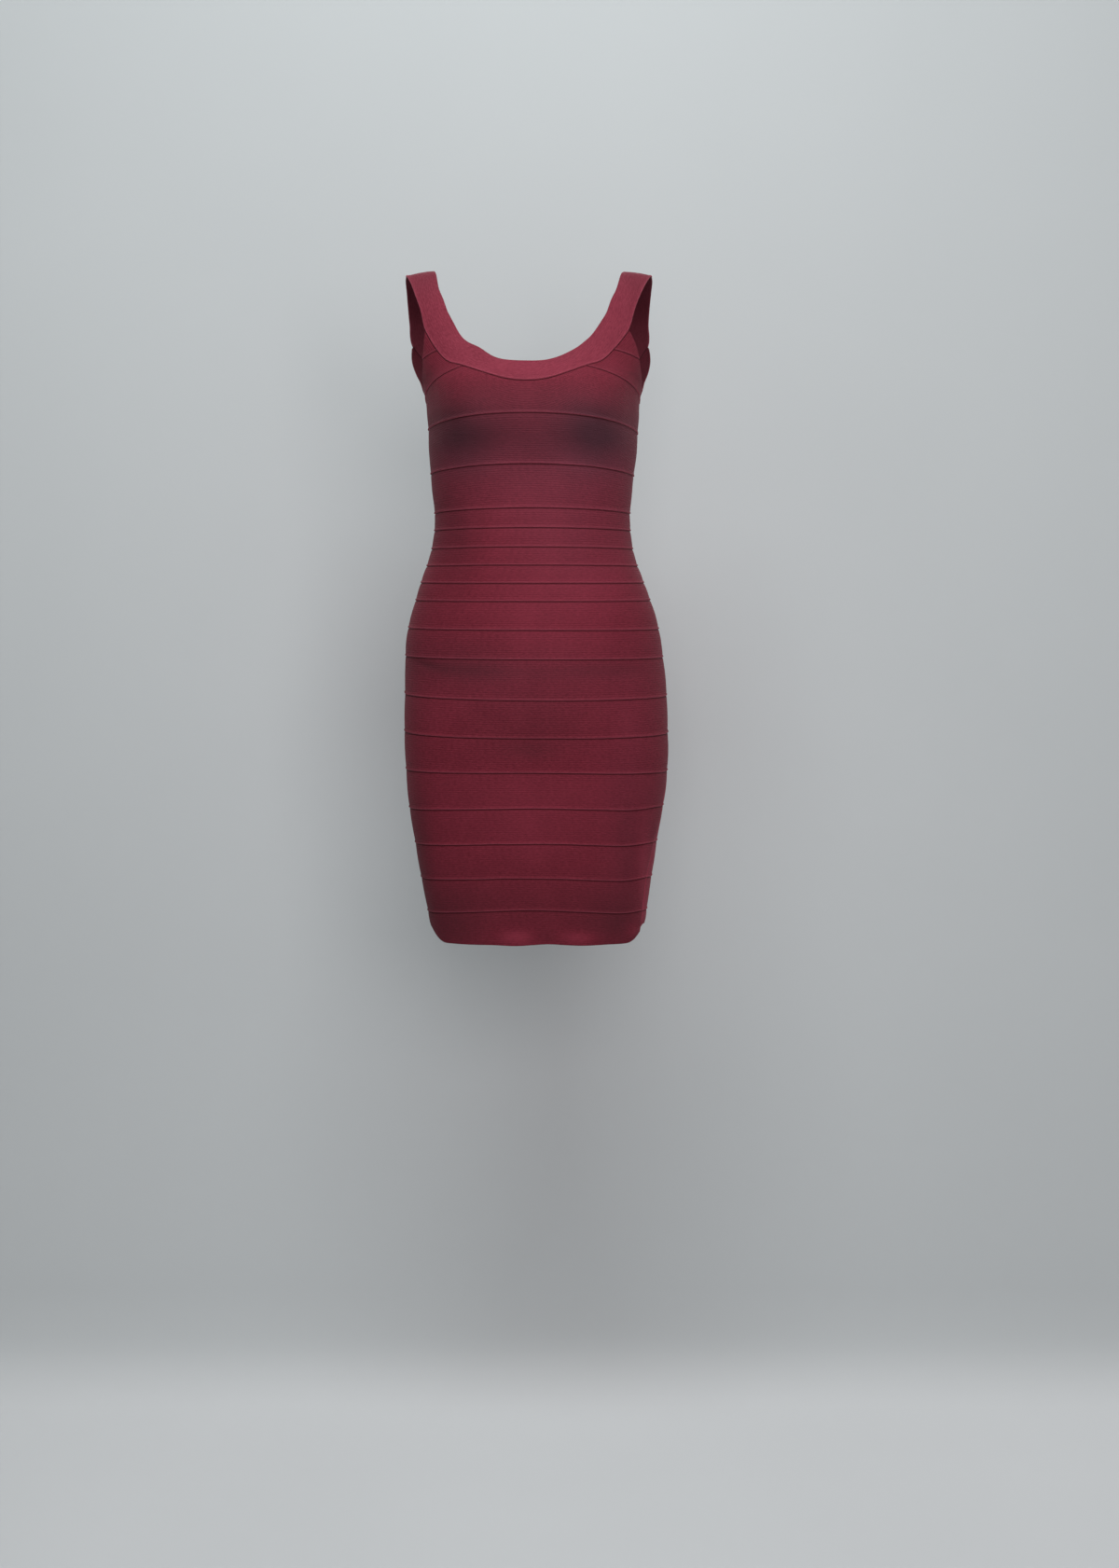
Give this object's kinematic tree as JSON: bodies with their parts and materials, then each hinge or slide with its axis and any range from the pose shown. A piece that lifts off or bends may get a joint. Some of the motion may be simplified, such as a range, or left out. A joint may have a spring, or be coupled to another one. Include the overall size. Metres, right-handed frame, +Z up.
{
  "type": "bodycon dress",
  "caption": "Fitted sleeveless knee-length dress of horizontal knitted bands, with a wide scooped neckline, filled out as worn.",
  "frame": {"origin": "midway between the two shoulder seams, at the height where the straps rest on the wearer's shoulders", "axes": "+Z up along the wearer, +X towards the wearer's left, -Y towards the wearer's front"},
  "size_m": [0.3075, 0.2341, 0.7645],
  "materials": {
    "body_knit": "matt deep red banded knit",
    "neckband_knit": "matt deep red knit, a little lighter"
  },
  "bodies": {
    "root": {"front_neckband": "neckband_knit", "back_neckband": "neckband_knit", "front_right_upper_yoke": "body_knit", "front_left_upper_yoke": "body_knit", "front_right_lower_yoke": "body_knit", "front_left_lower_yoke": "body_knit", "back_right_yoke": "body_knit", "back_left_yoke": "body_knit", "front_band_01": "body_knit", "front_band_02": "body_knit", "front_band_03": "body_knit", "front_band_04": "body_knit", "front_band_05": "body_knit", "front_band_06": "body_knit", "front_band_07": "body_knit", "front_band_08": "body_knit", "front_band_09": "body_knit", "front_band_10": "body_knit", "front_band_11": "body_knit", "front_band_12": "body_knit", "front_band_13": "body_knit", "front_band_14": "body_knit", "front_band_15": "body_knit", "front_band_16": "body_knit", "front_band_17": "body_knit", "front_band_18": "body_knit", "back_band_01": "body_knit", "back_band_02": "body_knit", "back_band_03": "body_knit", "back_band_04": "body_knit", "back_band_05": "body_knit", "back_band_06": "body_knit", "back_band_07": "body_knit", "back_band_08": "body_knit", "back_band_09": "body_knit", "back_band_10": "body_knit", "back_band_11": "body_knit", "back_band_12": "body_knit", "back_band_13": "body_knit", "back_band_14": "body_knit", "back_band_15": "body_knit", "back_band_16": "body_knit", "back_band_17": "body_knit", "back_band_18": "body_knit"}
  },
  "joints": []
}
